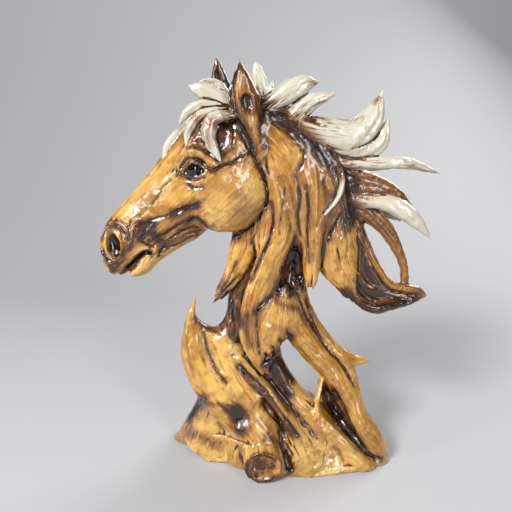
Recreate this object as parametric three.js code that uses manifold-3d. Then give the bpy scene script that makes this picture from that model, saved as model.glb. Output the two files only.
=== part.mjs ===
// Horse-head statuette: one resin casting, carved to look like a horse's head
// growing out of a piece of driftwood. Millimetres, +Z up. The horse faces -X and
// turns its left side to -Y. The origin lies on the flat underside.

import * as THREE from "three";
import { mergeVertices } from "three/addons/utils/BufferGeometryUtils.js";
import Module from "manifold-3d";

const wasm = await Module();
wasm.setup();

// Driving dimensions
const HEIGHT = 384; // from the underside to the tip of the far ear
const HEAD_PITCH = THREE.MathUtils.degToRad(42); // the face slopes down by this
const HEAD_YAW = THREE.MathUtils.degToRad(8); // the nose swings towards -Y by this
const TIP = 0.8; // half-thickness of a lock's or splinter's tip
const STUB_RADIUS = 17; // sawn-off branch at the front
const UNDERSIDE_CUT = 60; // depth below the underside that the roots are cut from

// The pose is a free form, so it is drawn on a grid of this many steps over the
// height: every place and half-size below is a number of steps.
const GRID_STEPS = 384;
const STEP = HEIGHT / GRID_STEPS;

const RING_SPACING = 17; // steps between two rings of a strand

// Closed body from rings of points, all with the same count, and a fan at each end.
function skin(rings) {
  const sides = rings[0].length;
  const points = rings.flat();
  const triangles = [];
  for (let r = 0; r + 1 < rings.length; r++) {
    for (let i = 0; i < sides; i++) {
      const a = r * sides + i;
      const b = r * sides + ((i + 1) % sides);
      triangles.push(a, b, b + sides, a, b + sides, a + sides);
    }
  }
  const first = points.length;
  for (const ring of [rings[0], rings.at(-1)]) {
    const middle = new THREE.Vector3();
    for (const p of ring) middle.addScaledVector(p, 1 / sides);
    points.push(middle);
  }
  const start = (rings.length - 1) * sides;
  for (let i = 0; i < sides; i++) {
    const next = (i + 1) % sides;
    triangles.push(next, i, first);
    triangles.push(start + i, start + next, first + 1);
  }
  return solidOf(points, triangles);
}

function solidOf(points, triangles) {
  const body = (order) =>
    new wasm.Manifold(
      new wasm.Mesh({
        numProp: 3,
        vertProperties: Float32Array.from(points.flatMap((p) => p.toArray())),
        triVerts: Uint32Array.from(order),
      }),
    );
  const made = body(triangles);
  return made.volume() < 0 ? body(triangles.toReversed()) : made;
}

const place = (x, y, z) => new THREE.Vector3(x, y, z).multiplyScalar(STEP);

// Smooth value at t, from 0 to 1, along evenly spaced numbers.
function along(values, t) {
  const line = new THREE.SplineCurve(
    values.map((v, i) => new THREE.Vector2(i, v)),
  );
  return Math.max(line.getPoint(t).y, Math.min(...values));
}

// One carved strand: rounded rings on a smooth curve through stations of
// [x, y, z, half-width, half-depth]. The depth lies along "facing".
function strand(stations, { sides = 6, facing = [0, 1, 0], spacing = RING_SPACING } = {}) {
  const curve = new THREE.CatmullRomCurve3(
    stations.map(([x, y, z]) => place(x, y, z)),
    false,
    "centripetal",
  );
  const spans = stations.length - 1;
  const count = Math.max(spans, Math.round(curve.getLength() / STEP / spacing));
  const rings = [];
  for (let r = 0; r <= count; r++) {
    const t = r / count;
    const middle = curve.getPoint(t);
    const tangent = curve.getTangent(t);
    const deep = new THREE.Vector3(...facing).projectOnPlane(tangent).normalize();
    const wide = new THREE.Vector3().crossVectors(deep, tangent);
    const w = STEP * along(stations.map((s) => s[3]), t);
    const d = STEP * along(stations.map((s) => s[4]), t);
    const ring = [];
    for (let i = 0; i < sides; i++) {
      const turn = (2 * Math.PI * (i + 0.5)) / sides;
      ring.push(
        middle
          .clone()
          .addScaledVector(wide, w * Math.cos(turn))
          .addScaledVector(deep, d * Math.sin(turn)),
      );
    }
    rings.push(ring);
  }
  return skin(rings);
}

// The same strand on the far side, a little inside the near one's outline.
function farSide(stations, [dx, dy, dz] = [0, 0, 0]) {
  return stations.map(([x, y, z, w, d]) => [x + dx, dy - y, z + dz, w, d]);
}

// Ellipsoid with the given half-sizes.
function lump(centre, [rx, ry, rz], turn = new THREE.Quaternion(), detail = [12, 8]) {
  const ball = new THREE.SphereGeometry(1, ...detail)
    .deleteAttribute("normal")
    .deleteAttribute("uv");
  const frame = new THREE.Matrix4().compose(
    centre,
    turn,
    new THREE.Vector3(rx, ry, rz).multiplyScalar(STEP),
  );
  const merged = mergeVertices(ball.applyMatrix4(frame));
  const at = merged.getAttribute("position");
  const points = Array.from({ length: at.count }, (_, i) =>
    new THREE.Vector3().fromBufferAttribute(at, i),
  );
  return solidOf(points, Array.from(merged.index.array));
}

// The head's own frame: "forward" runs from the poll down the face, "across" to
// the horse's right, and "up" out of the forehead.
const POLL = place(-34, 0, 335);
const headTurn = new THREE.Quaternion().setFromEuler(
  new THREE.Euler(0, -HEAD_PITCH, HEAD_YAW, "ZYX"),
);
const onHead = (forward, across, up) =>
  place(-forward, across, up).applyQuaternion(headTurn).add(POLL);

function headStrand(stations, options = {}) {
  const moved = stations.map(([forward, across, up, w, d]) => {
    const p = onHead(forward, across, up).divideScalar(STEP);
    return [p.x, p.y, p.z, w, d];
  });
  return strand(moved, options);
}

// Skull and jaw: sections down the face, each
// [forward, top, bottom, half-width, narrowing at the top, narrowing below].
const FACE_SECTIONS = [
  [-6, 6, -24, 15, 0.2, 0.2],
  [2, 14, -36, 20, 0.3, 0.2],
  [16, 23, -50, 25, 0.35, 0.3],
  [34, 29, -57, 28, 0.35, 0.45],
  [54, 31, -58, 29, 0.35, 0.5],
  [70, 29, -55, 28, 0.4, 0.5],
  [86, 26, -51, 25, 0.45, 0.5],
  [104, 23.5, -48, 21.5, 0.45, 0.5],
  [124, 21, -42, 18.5, 0.45, 0.5],
  [142, 20, -32, 17, 0.4, 0.4],
  [158, 18, -26, 17, 0.35, 0.35],
  [170, 13, -25, 16, 0.3, 0.35],
  [180, 4, -24, 13, 0.2, 0.3],
  [187, -8, -21, 7, 0.1, 0.2],
];

function skull() {
  const sides = 16;
  const rings = FACE_SECTIONS.map(([forward, top, bottom, half, above, below]) => {
    const ring = [];
    for (let i = 0; i < sides; i++) {
      const turn = (2 * Math.PI * i) / sides;
      const rise = Math.sin(turn);
      const narrow = 1 - (rise > 0 ? above : below) * rise * rise;
      const up = (top + bottom) / 2 + ((top - bottom) / 2) * rise;
      ring.push(onHead(forward, half * narrow * Math.cos(turn), up));
    }
    return ring;
  });
  return skin(rings);
}

// One side of the face: cheek, brow, eye, cheekbone, nostril.
function faceSide(side) {
  return [
    lump(onHead(60, side * 12, -33), [40, 19, 38], headTurn, [14, 8]),
    headStrand([
      [34, side * 16, 20, 7, 7],
      [56, side * 22, 13, 8, 7],
      [76, side * 19, 8, 6, 6],
      [92, side * 11, 7, 3, 4],
    ]),
    lump(onHead(66, side * 20.5, -1), [8, 6, 7], headTurn, [8, 6]),
    headStrand([
      [60, side * 20, -16, 8, 8],
      [84, side * 18, -15, 7, 7],
      [108, side * 13, -13, 5, 7],
      [128, side * 9, -12, 4, 6],
    ]),
    lump(onHead(163, side * 7, -3), [13, 9, 13], headTurn, [10, 6]),
  ];
}

function chin() {
  return headStrand([
    [108, 0, -38, 10, 12],
    [134, 0, -31, 11, 12],
    [154, 0, -31, 9, 11],
    [166, 0, -33, 7, 9],
    [175, 0, -31, 4, 6],
  ], { sides: 8 });
}

// Ears, pricked, the far one turned further forward.
const NEAR_EAR = [
  [-35, -19, 316, 7, 7],
  [-38, -22, 338, 12, 8],
  [-41, -24, 352, 12, 7],
  [-43, -26, 375, TIP, TIP],
];
const FAR_EAR = [
  [-50, 15, 322, 7, 7],
  [-58, 17, 344, 11, 7],
  [-62, 17, 360, 9, 5],
  [-65, 15, 383.2, TIP, TIP],
];

// Locks of the forelock, blown forward over the brow.
const FORELOCK = [
  [[-50, 0, 342, 6, 7], [-66, -5, 360, 5, 4], [-83, -8, 361, TIP, TIP]],
  [[-48, -8, 338, 7, 7], [-67, -12, 350, 8, 5], [-79, -14, 355, 6, 4], [-86, -15, 358, TIP, TIP]],
  [[-54, -9, 338, 6, 6], [-77, -14, 342, 5, 5], [-89, -16, 335, 4, 3], [-95, -16, 326, TIP, TIP]],
  [[-54, -14, 336, 5, 6], [-76, -18, 333, 5, 5], [-86, -20, 321, 4, 4], [-89, -22, 306, TIP, TIP]],
  [[-50, -18, 334, 4, 6], [-66, -23, 330, 6, 5], [-69, -26, 317, 6, 5], [-59, -31, 296, TIP, TIP]],
  [[-84, -4, 325, 5, 5], [-99, -7, 317, 4.5, 4], [-107, -10, 307, 4, 3], [-110, -11, 296, TIP, TIP]],
  [[-56, 10, 338, 6, 6], [-78, 12, 338, 5, 5], [-91, 12, 325, 4, 4], [-97, 14, 308, TIP, TIP]],
  [[-52, 16, 334, 5, 6], [-70, 21, 328, 6, 5], [-76, 24, 314, 5, 5], [-74, 28, 298, TIP, TIP]],
];

// Neck: a rounded body, and the planks of bark that run down its near side.
const NECK_BODY = [
  [-28, 0, 328, 18, 18],
  [-2, 0, 302, 30, 22],
  [12, 0, 268, 34, 23],
  [14, 1, 238, 33, 20],
  [8, 4, 208, 22, 12],
  [4, 5, 186, 12, 8],
];
const NECK_PLANKS = [
  [[-6, -2, 312, 15, 14], [-11, -9, 268, 19, 13], [-9, -13, 236, 15, 10], [-20, -16, 200, 12, 8],
    [-31, -18, 166, 12, 8], [-33, -20, 136, 13, 8], [-24, -23, 110, 9, 6], [-18, -24, 96, 2.5, 3]],
  [[20, 0, 304, 18, 16], [20, -9, 258, 18, 12], [21, -14, 222, 10, 8], [20, -16, 182, 6, 5.5]],
  [[34, -2, 272, 12, 14], [40, -6, 238, 19, 11], [44, -7, 208, 20, 9], [53, -7, 185, 12, 7],
    [62, -6, 163, 1.5, 2]],
  [[-34, 0, 248, 14, 12], [-40, -4, 218, 14, 9], [-51, -6, 191, 9, 6], [-60, -7, 176, 6, 4],
    [-72, -8, 162, 1.2, 1.5]],
  [[-24, -8, 262, 4, 8], [-26, -12, 237, 7, 7], [-28, -13, 211, 1.5, 3]],
];

// Dark stems inside, which carry the neck on the roots.
const STEMS = [
  [[-22, 1, 280, 12, 12], [-29, 2, 248, 16, 14], [-36, 3, 206, 15, 11], [-44, 3, 172, 12, 10],
    [-47, 2, 148, 12, 11], [-50, 1, 126, 20, 12], [-50, 0, 100, 22, 15]],
  [[0, 4, 244, 18, 14], [2, 6, 200, 13, 10], [7, 5, 164, 13, 10], [10, 4, 138, 10, 9]],
  [[-14, 2, 196, 20, 12], [-20, 1, 160, 21, 13], [-28, 0, 126, 18, 14], [-32, -2, 88, 26, 20],
    [-30, -2, 34, 36, 26]],
];

// Crest of the mane and its locks, streaming back.
const CREST = [
  [-32, 0, 337, 9, 12],
  [-5, -1, 331, 12, 14],
  [18, -3, 313, 13, 15],
  [36, -4, 288, 13, 15],
  [47, -4, 260, 12, 13],
  [54, -3, 230, 8, 9],
];
const MANE_LOCKS = [
  [[-24, -4, 340, 8, 6], [-26, -5, 358, 7, 4], [-29, -5, 371, 5, 3], [-31, -5, 378, TIP, TIP]],
  [[-24, -6, 340, 6, 6], [-19, -6, 352, 4, 3], [-16, -6, 362, TIP, TIP]],
  [[-24, -7, 338, 7, 7], [-4, -10, 352, 9.5, 7], [10, -9, 359, 9, 6], [22, -8, 361, 1.5, 1.5]],
  [[-2, -7, 328, 9, 8], [18, -10, 345, 7.5, 6], [39, -9, 352, TIP, TIP]],
  [[4, -7, 324, 12, 9], [34, -12, 318, 14, 9], [52, -13, 316, 13, 7], [66, -12, 326, 10, 5],
    [76, -10, 351, TIP, TIP]],
  [[32, -7, 306, 9, 8], [62, -9, 301, 7, 6], [77, -8, 309, 5.5, 4], [84, -6, 330, TIP, TIP]],
  [[30, -6, 296, 9, 9], [62, -11, 293, 5.5, 5], [84, -13, 294, 5.5, 5], [104, -12, 293, 5, 4],
    [130, -10, 285, TIP, TIP]],
  [[36, -3, 280, 14, 11], [66, -5, 273, 14, 10], [88, -6, 267, 10, 7], [104, -6, 258, 5, 4],
    [112, -5, 250, 1.5, 1.5]],
  [[38, -4, 268, 10, 10], [71, -8, 260, 7, 7], [91, -10, 257, 8.5, 6], [112, -11, 244, 7, 5],
    [128, -10, 227, TIP, TIP]],
  [[42, -2, 262, 10, 10], [66, -3, 252, 9.5, 8], [87, -3, 236, 7.5, 6], [102, -2, 213, 5, 5],
    [110, 0, 193, 4, 4], [111, 1, 172, 4, 4]],
  [[37, -13, 298, 2, 4], [45, -17, 284, 2.4, 4.5], [43, -20, 267, 2.4, 4.5], [32, -21, 251, 1.2, 2]],
];

// Hollow claw of wood behind the neck: a thin back, its rim, its lip and its tip.
const CLAW = [
  [[60, 0, 240, 6, 7], [68, 0, 206, 12, 6], [71, 0, 190, 18, 5], [80, 1, 175, 19, 5],
    [102, 2, 168, 11, 4.5], [118, 2, 167, 6, 4], [128, 3, 167, 3, 3]],
  [[62, -2, 240, 5, 7], [74, -3, 214, 4, 6], [84, -5, 196, 3.5, 5], [96, -5, 181, 3.5, 5],
    [112, -2, 176, 4, 5], [124, 1, 173, 4, 4], [133, 3, 167, 1.2, 1.5]],
  [[62, -4, 172, 4, 5], [70, -7, 163, 5, 6], [84, -8, 158, 5.5, 6], [98, -5, 160, 5, 5],
    [116, -1, 162, 3.5, 4], [130, 3, 167, 2, 2]],
];

// Lower bark, the horned leaf on the left, the leg and its spur on the right.
const LOWER_BARK = [
  [[-8, -8, 190, 8, 8], [-11, -13, 163, 15, 9], [-12, -16, 146, 16, 8.5], [-17, -18, 129, 12, 8],
    [-22, -20, 113, 6, 6]],
  [[-88, 2, 166, TIP, TIP], [-92, 1, 150, 4, 4], [-91, -1, 130, 11, 8], [-86, -6, 106, 17, 10],
    [-72, -13, 82, 20, 12], [-50, -21, 60, 20, 14], [-28, -27, 38, 19, 14], [-17, -30, 18, 18, 13],
    [-13, -30, -6, 18, 12]],
  [[-82, 0, 137, 3, 5], [-68, -2, 122, 13, 10], [-54, -9, 97, 19, 14], [-32, -18, 68, 17, 15]],
];
const RIGHT_LEG = [
  [[-2, 1, 170, 10, 9], [9, -1, 140, 12, 9], [26, -3, 113, 12, 10], [44, -6, 92, 11, 10],
    [58, -9, 69, 11, 10], [68, -12, 50, 11, 11], [78, -15, 32, 13, 12], [88, -16, 16, 12, 11],
    [94, -15, 2, 8, 9], [96, -14, -8, 7, 8]],
  [[6, 5, 186, 6, 8], [24, 4, 141, 7, 8], [42, 2, 115, 8, 8], [58, 0, 98, 7.5, 8], [68, -3, 74, 5, 7],
    [75, -6, 50, 4, 7]],
  [[42, 1, 109, 9, 7], [64, 1, 101, 5, 4.5], [83, 2, 99, TIP, TIP]],
];

// Roots over the base, and those that spread to its corners.
const ROOTS = [
  [[-46, -14, 110, 4, 6], [-30, -23, 94, 5, 7], [-12, -27, 73, 6, 8], [3, -29, 50, 7, 9],
    [16, -31, 26, 11, 10], [20, -31, -6, 12, 10]],
  [[35, -8, 87, 1.5, 3], [31, -14, 72, 2.5, 5], [29, -19, 60, 3, 6], [31, -22, 47, 4, 7],
    [48, -26, 33, 5, 7], [68, -29, 13, 6, 7], [78, -29, 2, 4, 5]],
  [[-18, -6, 110, 8, 10], [-4, -9, 84, 9, 11], [12, -11, 62, 10, 13], [30, -14, 40, 16, 17],
    [36, -14, 4, 22, 20]],
  [[42, 6, 78, 10, 7], [48, 5, 56, 16, 9], [58, 2, 34, 22, 12], [62, 0, 4, 26, 14]],
  [[-76, 0, 76, 10, 11], [-80, 4, 50, 12, 13], [-94, 10, 22, 12, 12], [-106, 16, 8, 7, 8],
    [-114, 20, 2, 2.5, 3]],
  [[-66, -6, 66, 14, 12], [-74, -4, 36, 16, 14], [-82, 0, 6, 20, 16]],
  [[-44, 3, 108, 8, 8], [-60, 12, 78, 13, 12], [-77, 24, 46, 13, 12], [-93, 34, 16, 11, 10],
    [-102, 40, -6, 8, 8]],
  [[-38, 5, 118, 8, 6], [-44, 20, 72, 14, 11], [-48, 36, 28, 13, 11], [-48, 44, -6, 10, 9]],
  [[-20, 5, 126, 8, 6], [-18, 15, 90, 15, 11], [-8, 30, 48, 15, 12], [2, 42, 14, 13, 11],
    [5, 47, -6, 11, 10]],
  [[8, 10, 58, 8, 8], [22, 20, 44, 13, 10], [36, 32, 24, 14, 12], [46, 38, 4, 11, 10],
    [50, 41, -6, 8, 8]],
  [[40, 1, 98, 6, 6], [55, 6, 74, 10, 10], [70, 15, 44, 12, 12], [82, 25, 14, 10, 10],
    [88, 30, -6, 8, 9]],
  [[-44, -10, 56, 14, 12], [-44, -16, 30, 18, 14], [-46, -16, 4, 18, 14]],
];

// Outline of the base on the table, as [x, y], counterclockwise seen from above.
const FOOTPRINT = [
  [-113, 20], [-90, 2], [-64, -10], [-48, -26], [-26, -38], [10, -42], [45, -39], [80, -32],
  [98, -16], [99, 6], [84, 28], [50, 40], [4, 52], [-40, 48], [-78, 42], [-106, 34],
];
// Levels of the mound over it, as [height, share of the footprint, shift along X].
const MOUND_LEVELS = [
  [-8, 1, 0], [3, 1, 0], [12, 0.9, 0], [26, 0.74, -3], [46, 0.5, -12], [66, 0.3, -22],
];

function mound() {
  const outline = new THREE.CatmullRomCurve3(
    FOOTPRINT.map(([x, y]) => new THREE.Vector3(x, y, 0)),
    true,
  ).getSpacedPoints(28);
  outline.pop();
  return skin(
    MOUND_LEVELS.map(([z, share, shift]) =>
      outline.map((p) => place(p.x * share + shift, p.y * share, z)),
    ),
  );
}

function stub() {
  const r = STUB_RADIUS / STEP;
  return strand(
    [
      [-28, 0, 32, r + 4, r + 2],
      [-26, -28, 22, r + 1, r],
      [-24, -50, 16.5, r, r - 1],
      [-24, -53, 16.5, r - 2, r - 3],
    ],
    { sides: 14, facing: [0, 0, 1] },
  );
}

// Everything is one casting. What hangs below the underside is cut off flat.
function casting() {
  const pieces = [
    skull(),
    ...faceSide(-1),
    ...faceSide(1),
    chin(),
    strand(NEAR_EAR, { sides: 8 }),
    strand(FAR_EAR),
    ...FORELOCK.map((lock) => strand(lock)),
    strand(NECK_BODY, { sides: 12 }),
    ...NECK_PLANKS.map((plank) => strand(plank, { sides: 8, spacing: 24 })),
    ...NECK_PLANKS.map((plank) => strand(farSide(plank, [0, 2, 0]), { spacing: 30 })),
    ...STEMS.map((stem) => strand(stem, { sides: 8, spacing: 25 })),
    strand(CREST, { sides: 8, spacing: 25 }),
    ...MANE_LOCKS.map((lock) => strand(lock)),
    ...MANE_LOCKS.slice(2, -1).map((lock) =>
      strand(farSide(lock.slice(0, -1), [-6, 0, -1]), { sides: 5, spacing: 30 }),
    ),
    ...CLAW.map((edge) => strand(edge, { spacing: 26 })),
    ...LOWER_BARK.map((bark) => strand(bark, { sides: 8, spacing: 22 })),
    ...RIGHT_LEG.map((leg) => strand(leg, { sides: 8, spacing: 24 })),
    ...ROOTS.map((root) => strand(root, { spacing: 30 })),
    mound(),
    stub(),
  ];
  const joined = pieces.reduce((sum, piece) => sum.add(piece));
  const floor = new THREE.BoxGeometry(2 * HEIGHT, 2 * HEIGHT, UNDERSIDE_CUT)
    .deleteAttribute("normal")
    .deleteAttribute("uv")
    .translate(0, 0, -UNDERSIDE_CUT / 2);
  const slab = mergeVertices(floor);
  const at = slab.getAttribute("position");
  const corners = Array.from({ length: at.count }, (_, i) =>
    new THREE.Vector3().fromBufferAttribute(at, i),
  );
  return joined.subtract(solidOf(corners, Array.from(slab.index.array)));
}

function geometryOf(solid) {
  const mesh = solid.getMesh();
  return new THREE.BufferGeometry()
    .setAttribute("position", new THREE.BufferAttribute(mesh.vertProperties, 3))
    .setIndex(new THREE.BufferAttribute(mesh.triVerts, 1));
}

const resin = new THREE.MeshStandardMaterial({
  color: 0xb07a38,
  roughness: 0.28,
  metalness: 0,
});
const statuette = new THREE.Mesh(geometryOf(casting()), resin);
statuette.name = "statuette";

const group = new THREE.Group();
group.add(statuette);

export default group;
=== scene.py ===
# Horse head statuette: a glossy resin casting of a horse's head and neck that grow out of
# driftwood. Lengths in the casting are in millimetres until its mesh is made, then metres.
import math

import bpy
import numpy as np
import openvdb
from mathutils import Euler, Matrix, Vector


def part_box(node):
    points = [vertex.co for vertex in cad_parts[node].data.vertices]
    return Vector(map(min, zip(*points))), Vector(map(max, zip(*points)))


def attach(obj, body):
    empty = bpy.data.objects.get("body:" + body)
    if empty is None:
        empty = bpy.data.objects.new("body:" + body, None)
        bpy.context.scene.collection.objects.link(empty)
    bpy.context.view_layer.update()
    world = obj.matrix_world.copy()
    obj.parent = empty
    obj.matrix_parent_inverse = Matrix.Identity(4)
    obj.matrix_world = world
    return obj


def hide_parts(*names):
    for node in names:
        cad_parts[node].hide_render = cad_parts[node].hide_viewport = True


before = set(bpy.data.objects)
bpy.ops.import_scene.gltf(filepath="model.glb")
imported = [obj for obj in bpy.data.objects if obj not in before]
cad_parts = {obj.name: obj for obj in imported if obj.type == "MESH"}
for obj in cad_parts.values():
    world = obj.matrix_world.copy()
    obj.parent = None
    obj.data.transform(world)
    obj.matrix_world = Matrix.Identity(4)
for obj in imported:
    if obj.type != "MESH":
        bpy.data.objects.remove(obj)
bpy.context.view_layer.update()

# The casting. The figure is built up as the sculptor's clay was, strand by strand, into
# one block of clay: a grid of distances to its surface, below zero inside. Forms are
# pressed together with soft joints, then lines are carved in and the skin is taken off.
PITCH = 1.0
MARGIN = 5
EMPTY = 40.0
MEETING = 9.0
low, high = (1000 * np.array(corner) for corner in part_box("statuette"))
low, high = low - MARGIN, high + MARGIN
clay = np.full(np.ceil((high - low) / PITCH).astype(int) + 1, EMPTY, np.float32)


def window(bottom, top):
    """The part of the block between two corners, and the places of its samples."""
    first = np.clip(np.floor((bottom - low) / PITCH).astype(int), 0, clay.shape)
    last = np.clip(np.ceil((top - low) / PITCH).astype(int) + 1, 0, clay.shape)
    cut = tuple(slice(a, b) for a, b in zip(first, last))
    axes = [(low[k] + PITCH * np.arange(first[k], last[k])).astype(np.float32) for k in range(3)]
    return cut, np.meshgrid(*axes, indexing="ij", sparse=True)


def crop(axes, bottom, top):
    """A part of such a window: its slices, and the places of its samples."""
    part = tuple(slice(*np.searchsorted(axis.ravel(), (bottom[k], top[k]))) for k, axis in enumerate(axes))
    x, y, z = axes
    return part, (x[part[0]], y[:, part[1]], z[:, :, part[2]])


def press(cut, depth, soft):
    """Adds a form to the clay with a joint as wide as soft."""
    there = clay[cut]
    joint = np.maximum(soft - np.abs(there - depth), 0) / soft
    clay[cut] = np.minimum(there, depth) - joint * joint * soft / 4


def carve(cut, depth, soft):
    """Takes a form out of the clay with an edge as round as soft."""
    there = clay[cut]
    edge = np.maximum(soft - np.abs(there + depth), 0) / soft
    clay[cut] = np.maximum(there, -depth) + edge * edge * soft / 4


class Strand:
    """A smooth line through stations of place, half-width and half-depth."""

    def __init__(self, stations, facing=(0, 1, 0), cap=3.0, piece=3.5):
        s = np.array(stations, float)
        place = np.vstack([2 * s[0] - s[1], s, 2 * s[-1] - s[-2]])[:, :3]
        half = np.vstack([s[:1], s, 3 * s[-1:] - 2 * s[-2:-1]])[:, 3:]
        at, size = [], []
        for i in range(len(s) - 1):
            p0, p1, p2, p3 = place[i : i + 4]
            a, b, c = [max(np.linalg.norm(q - p) ** 0.5, 1e-4) for p, q in ((p0, p1), (p1, p2), (p2, p3))]
            leave = ((p1 - p0) / a - (p2 - p0) / (a + b) + (p2 - p1) / b) * b
            arrive = ((p2 - p1) / b - (p3 - p1) / (b + c) + (p3 - p2) / c) * b
            h0, h1, h2, h3 = half[i : i + 4]
            grow, settle = (h2 - h0) / 2, (h3 - h1) / 2
            count = max(int(np.linalg.norm(p2 - p1) / piece), 2)
            last = i == len(s) - 2
            t = (np.arange(count + last) / count)[:, None]
            for value, out in (((p1, p2, leave, arrive), at), ((h1, h2, grow, settle), size)):
                u, v, du, dv = value
                bend = (3 * v - 3 * u - 2 * du - dv) * t**2 + (2 * u - 2 * v + du + dv) * t**3
                out.append(u + du * t + bend)
        self.at = np.vstack(at)
        self.size = np.maximum(np.vstack(size), s[:, 3:].min(0))
        run = np.gradient(self.at, axis=0)
        run /= np.linalg.norm(run, axis=1)[:, None]
        deep = np.array(facing, float) - run * (run @ np.array(facing, float))[:, None]
        self.deep = deep / np.linalg.norm(deep, axis=1)[:, None]
        self.wide = np.cross(self.deep, run)
        gaps = np.linalg.norm(np.diff(self.at, axis=0), axis=1)
        self.length = np.concatenate([[0], np.cumsum(gaps)])
        self.cap = cap

    def beside(self, i, x, y, z):
        """One short piece of the strand: how far it is, its surface, and the place on it."""
        start, step = self.at[i], self.at[i + 1] - self.at[i]
        reach = np.linalg.norm(step)
        x, y, z = x - start[0], y - start[1], z - start[2]
        share = (x * step[0] + y * step[1] + z * step[2]) / reach**2
        held = np.clip(share, 0, 1)
        x, y, z = x - held * step[0], y - held * step[1], z - held * step[2]
        (w0, d0), (w1, d1) = self.size[i], self.size[i + 1]
        w, d = w0 + held * (w1 - w0), d0 + held * (d1 - d0)
        wide = [a + held * (b - a) for a, b in zip(self.wide[i], self.wide[i + 1])]
        deep = [a + held * (b - a) for a, b in zip(self.deep[i], self.deep[i + 1])]
        u = (x * wide[0] + y * wide[1] + z * wide[2]) / w
        v = (x * deep[0] + y * deep[1] + z * deep[2]) / d
        past = 0
        if i == 0:
            past = np.minimum(share, 0) * reach / self.cap
        if i == len(self.at) - 2:
            past = past + np.maximum(share - 1, 0) * reach / self.cap
        size = np.sqrt(u * u + v * v + past * past + 1e-6)
        slope = np.sqrt((u / w) ** 2 + (v / d) ** 2 + (past / self.cap) ** 2 + 1e-6 / (w * d))
        along = self.length[i] + held * (self.length[i + 1] - self.length[i])
        return x * x + y * y + z * z, (size - 1) * size / slope, along, u, v

    def within(self, x, y, z):
        """Distance to the strand's surface, with the place along and round it."""
        shape = np.broadcast_shapes(x.shape, y.shape, z.shape)
        nearest = np.full(shape, 1e9, np.float32)
        best = np.full(shape, EMPTY, np.float32)
        along, u, v = (np.zeros(shape, np.float32) for _ in range(3))
        reach = self.size.max() + MEETING
        for i in range(len(self.at) - 1):
            bottom = self.at[i : i + 2].min(0) - reach
            top = self.at[i : i + 2].max(0) + reach
            part, axes = crop((x, y, z), bottom, top)
            if not nearest[part].size:
                continue
            found = self.beside(i, *axes)
            closer = found[0] < nearest[part]
            for kept, new in zip((nearest, best, along, u, v), found):
                kept[part] = np.where(closer, new, kept[part])
        return best, along, u, v


def furrows(strand_place, count, deep, phase):
    """Grooves that run along a strand, wandering a little from side to side."""
    along, u, v = strand_place
    turn = np.arctan2(v, u)
    wander = 0.7 * np.sin(along * 0.06 + phase) + 0.35 * np.sin(along * 0.17 + 2 * phase)
    line = 1 - np.abs(np.sin(turn * count / 2 + wander + phase))
    return deep * line**3


finish = []  # each strand with its finish: wood, bark, dark, brown, or mane or lock for hair


def lay(stations, soft, grooves=(0, 0), colour="wood", torn=0, **shape):
    """Presses one strand into the clay, torn at its end, and keeps it for the finish."""
    strand = Strand(stations, **shape)
    reach = strand.size.max() + MEETING
    cut, (x, y, z) = window(strand.at.min(0) - reach, strand.at.max(0) + reach)
    depth, along, u, v = strand.within(x, y, z)
    if grooves[0]:
        depth = depth + furrows((along, u, v), *grooves, phase=len(finish) * 1.3)
    if torn:
        notch = 0.5 + 0.3 * np.sin(6 * u + len(finish)) + 0.25 * np.sin(13 * u + 2 * len(finish))
        depth = depth + 5 * np.clip(notch - (strand.length[-1] - along) / torn, 0, 1)
    press(cut, depth, soft)
    finish.append((strand, colour))


def other_side(stations, dx=0, dy=0, dz=0):
    """The same strand on the far side, a little inside the near one's outline."""
    return [[x + dx, dy - y, z + dz, w, d] for x, y, z, w, d in stations]


TIP = 0.8

# The head, in its own frame: "forward" runs from the poll down the face, "across" to the
# horse's right and "up" out of the forehead. Skull and jaw are one form of smooth sections.
POLL = np.array([-34.0, 0.0, 335.0])
turn = np.array(Euler((0, 0, math.radians(8))).to_matrix() @ Euler((0, math.radians(-42), 0)).to_matrix())


def on_head(forward, across, up):
    return turn @ np.array([-forward, across, up]) + POLL


def head_frame(x, y, z):
    x, y, z = x - POLL[0], y - POLL[1], z - POLL[2]
    ahead, across, up = (turn[0, k] * x + turn[1, k] * y + turn[2, k] * z for k in range(3))
    return -ahead, across, up


# Each section: how far down the face, its top, its underside, its half-width, and how much
# it narrows above and below.
FACE_SECTIONS = [
  [-6, 6, -24, 15, 0.2, 0.2],
  [2, 14, -36, 20, 0.3, 0.2],
  [16, 23, -50, 25, 0.35, 0.3],
  [34, 29, -57, 28, 0.35, 0.45],
  [54, 31, -58, 29, 0.35, 0.5],
  [70, 29, -55, 28, 0.4, 0.5],
  [86, 26, -51, 25, 0.45, 0.5],
  [104, 23.5, -48, 21.5, 0.45, 0.5],
  [124, 21, -42, 18.5, 0.45, 0.5],
  [142, 20, -32, 17, 0.4, 0.4],
  [158, 18, -26, 17, 0.35, 0.35],
  [170, 13, -25, 16, 0.3, 0.35],
  [180, 4, -24, 13, 0.2, 0.3],
  [187, -8, -21, 7, 0.1, 0.2],
]


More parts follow.
